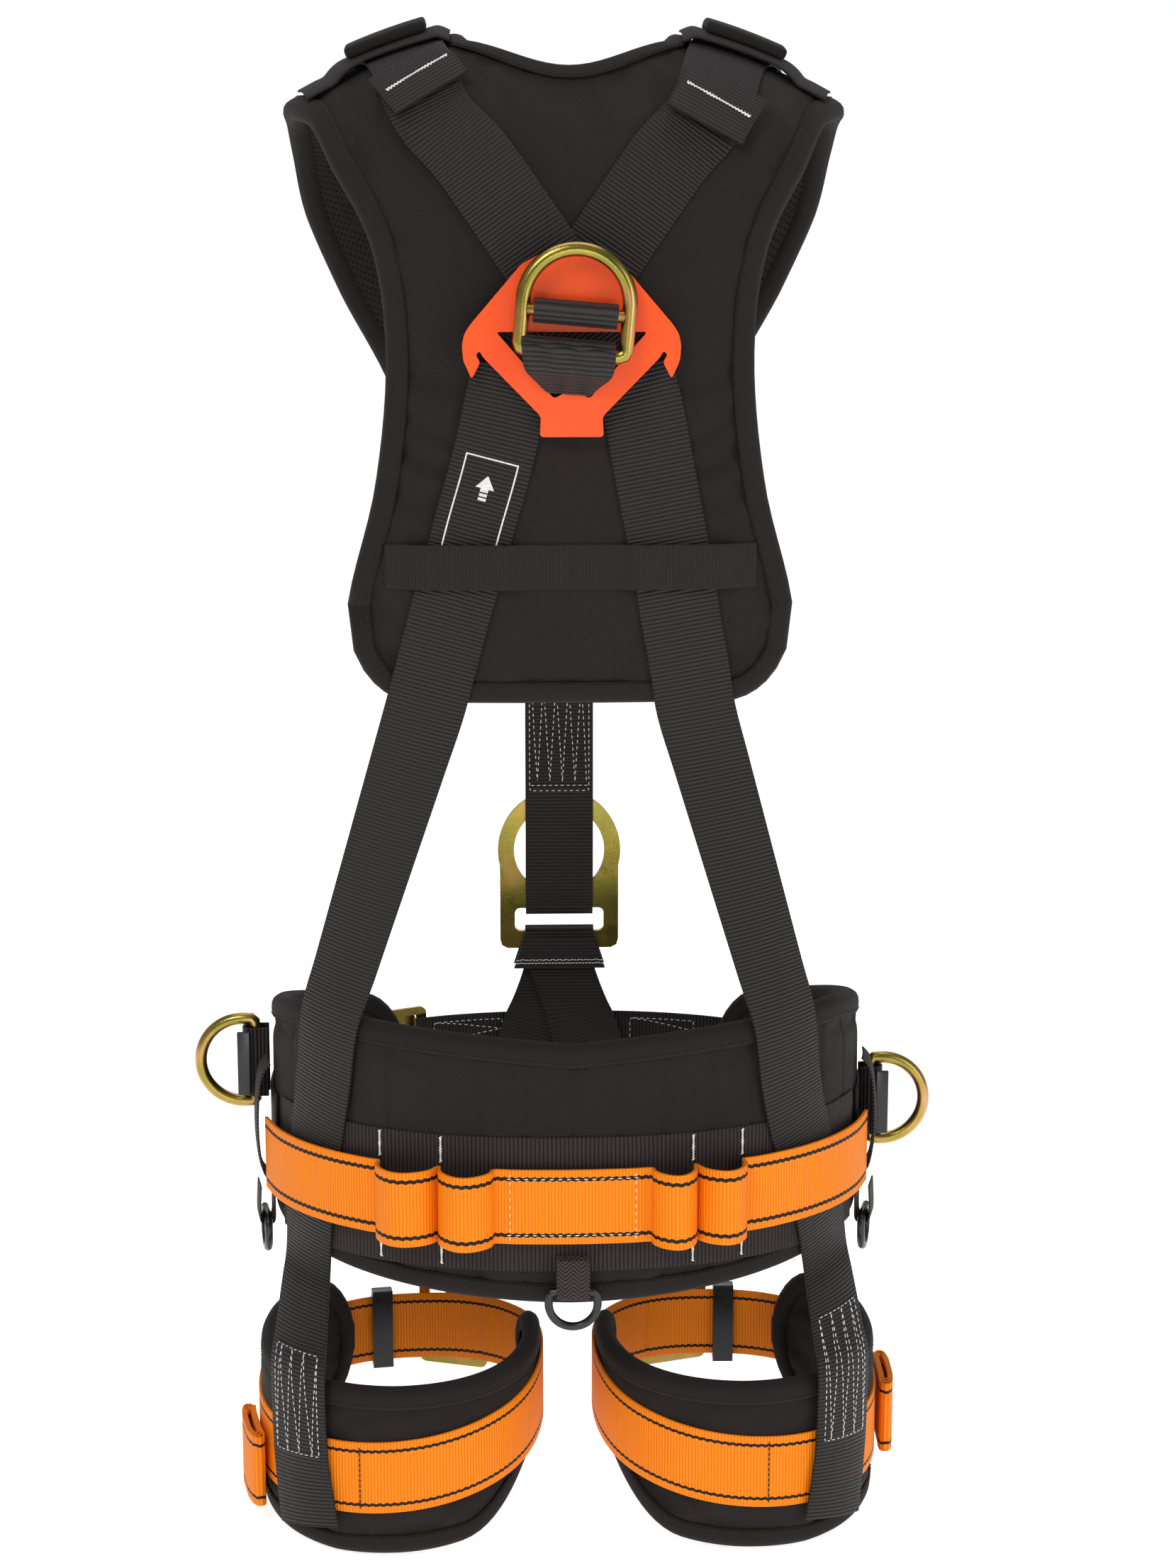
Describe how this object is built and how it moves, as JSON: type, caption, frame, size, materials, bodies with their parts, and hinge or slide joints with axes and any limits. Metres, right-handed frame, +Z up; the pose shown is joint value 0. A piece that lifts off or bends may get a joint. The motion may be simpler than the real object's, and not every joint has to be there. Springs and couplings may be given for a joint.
{
  "type": "safety harness",
  "caption": "Full-body fall-arrest harness with padded back, padded waist belt, padded leg loops, metal attachment rings and a tool belt.",
  "frame": {"origin": "centre of the waist belt's opening, where the wearer's waist is", "axes": "+Z up as worn, -Y out of the wearer's back, +X towards the wearer's right"},
  "size_m": [0.4519, 0.3026, 0.8807],
  "materials": {
    "padded_oxford": "matt woven",
    "spacer_mesh": "open knit",
    "binding_tape": "twill",
    "elastic_band": "fine ribbed",
    "orange_webbing": "ribbed",
    "orange_plastic": "semi-gloss moulded",
    "zinc_steel": "yellow zinc plated",
    "black_plastic": "gloss moulded",
    "black_webbing": "ribbed"
  },
  "bodies": {
    "harness": {"back_pad": "padded_oxford", "back_pad_binding": "binding_tape", "back_pad_lining": "spacer_mesh", "back_strap_l": "black_webbing", "back_strap_r": "black_webbing", "chest_web": "black_webbing", "dorsal_plate": "orange_plastic", "dorsal_web_fold": "black_webbing", "front_web_l": "black_webbing", "front_web_r": "black_webbing", "gear_tape_back": "binding_tape", "gear_tape_l": "binding_tape", "gear_tape_r": "binding_tape", "leg_buckle_l": "zinc_steel", "leg_buckle_r": "zinc_steel", "leg_pad_binding_l": "binding_tape", "leg_pad_binding_r": "binding_tape", "leg_pad_l": "padded_oxford", "leg_pad_r": "padded_oxford", "leg_riser_l": "black_webbing", "leg_riser_r": "black_webbing", "leg_web_end_l": "orange_webbing", "leg_web_end_r": "orange_webbing", "leg_web_l": "orange_webbing", "leg_web_r": "orange_webbing", "lower_chest_fold": "black_webbing", "lower_chest_web_l": "black_webbing", "lower_chest_web_r": "black_webbing", "pad_elastic_band": "elastic_band", "shoulder_cover_l": "elastic_band", "shoulder_cover_r": "elastic_band", "shoulder_sleeve_l": "elastic_band", "shoulder_sleeve_r": "elastic_band", "shoulder_strap_l": "black_webbing", "shoulder_strap_r": "black_webbing", "shoulder_tab_l": "black_webbing", "shoulder_tab_r": "black_webbing", "side_ring_web_l": "black_webbing", "side_ring_web_r": "black_webbing", "side_stiffener_l": "black_plastic", "side_stiffener_r": "black_plastic", "side_tape_l": "binding_tape", "side_tape_r": "binding_tape", "sternal_ring_plate": "zinc_steel", "tool_belt": "orange_webbing", "waist_buckle_frame": "zinc_steel", "waist_buckle_tongue": "zinc_steel", "waist_carrier_band": "elastic_band", "waist_pad": "padded_oxford", "waist_pad_binding": "binding_tape"},
    "dorsal_ring": {"dorsal_d_ring": "zinc_steel", "dorsal_web_roll": "black_webbing"},
    "side_ring_l": {"side_d_ring_l": "zinc_steel"},
    "side_ring_r": {"side_d_ring_r": "zinc_steel"},
    "gear_ring_back_body": {"gear_ring_back": "black_plastic"},
    "gear_ring_l_body": {"gear_ring_l": "black_plastic"},
    "gear_ring_r_body": {"gear_ring_r": "black_plastic"},
    "keeper_l": {"leg_keeper_l": "black_plastic"},
    "keeper_r": {"leg_keeper_r": "black_plastic"}
  },
  "joints": [
    {"name": "dorsal_ring_swing", "type": "hinge", "parent": "harness", "child": "dorsal_ring", "pos_m": [0, -0.142, 0.474], "axis": [0.9962, 0, -0.0872], "range_deg": [0, 70]},
    {"name": "side_ring_l_swing", "type": "hinge", "parent": "harness", "child": "side_ring_l", "pos_m": [-0.19, 0.00504, 0.041], "axis": [0, 0, 1], "range_deg": [-60, 60]},
    {"name": "side_ring_r_swing", "type": "hinge", "parent": "harness", "child": "side_ring_r", "pos_m": [0.1885, 0.00504, 0.012], "axis": [0, 0, 1], "range_deg": [-60, 60]},
    {"name": "gear_ring_back_swing", "type": "hinge", "parent": "harness", "child": "gear_ring_back_body", "pos_m": [0, -0.1375, -0.056], "axis": [1, 0, 0], "range_deg": [-75, 0]},
    {"name": "gear_ring_l_swing", "type": "hinge", "parent": "harness", "child": "gear_ring_l_body", "pos_m": [-0.18297, -0.02211, -0.048], "axis": [0.1667, -0.986, 0], "range_deg": [-75, 0]},
    {"name": "gear_ring_r_swing", "type": "hinge", "parent": "harness", "child": "gear_ring_r_body", "pos_m": [0.18077, -0.0325, -0.048], "axis": [0.2481, 0.9687, 0], "range_deg": [-75, 0]},
    {"name": "keeper_l_slide", "type": "slide", "parent": "harness", "child": "keeper_l", "axis": [-0.9892, -0.1469, 0], "range_m": [-0.006, 0.006]},
    {"name": "keeper_r_slide", "type": "slide", "parent": "harness", "child": "keeper_r", "axis": [0.9999, -0.0164, 0], "range_m": [-0.006, 0.006]}
  ]
}
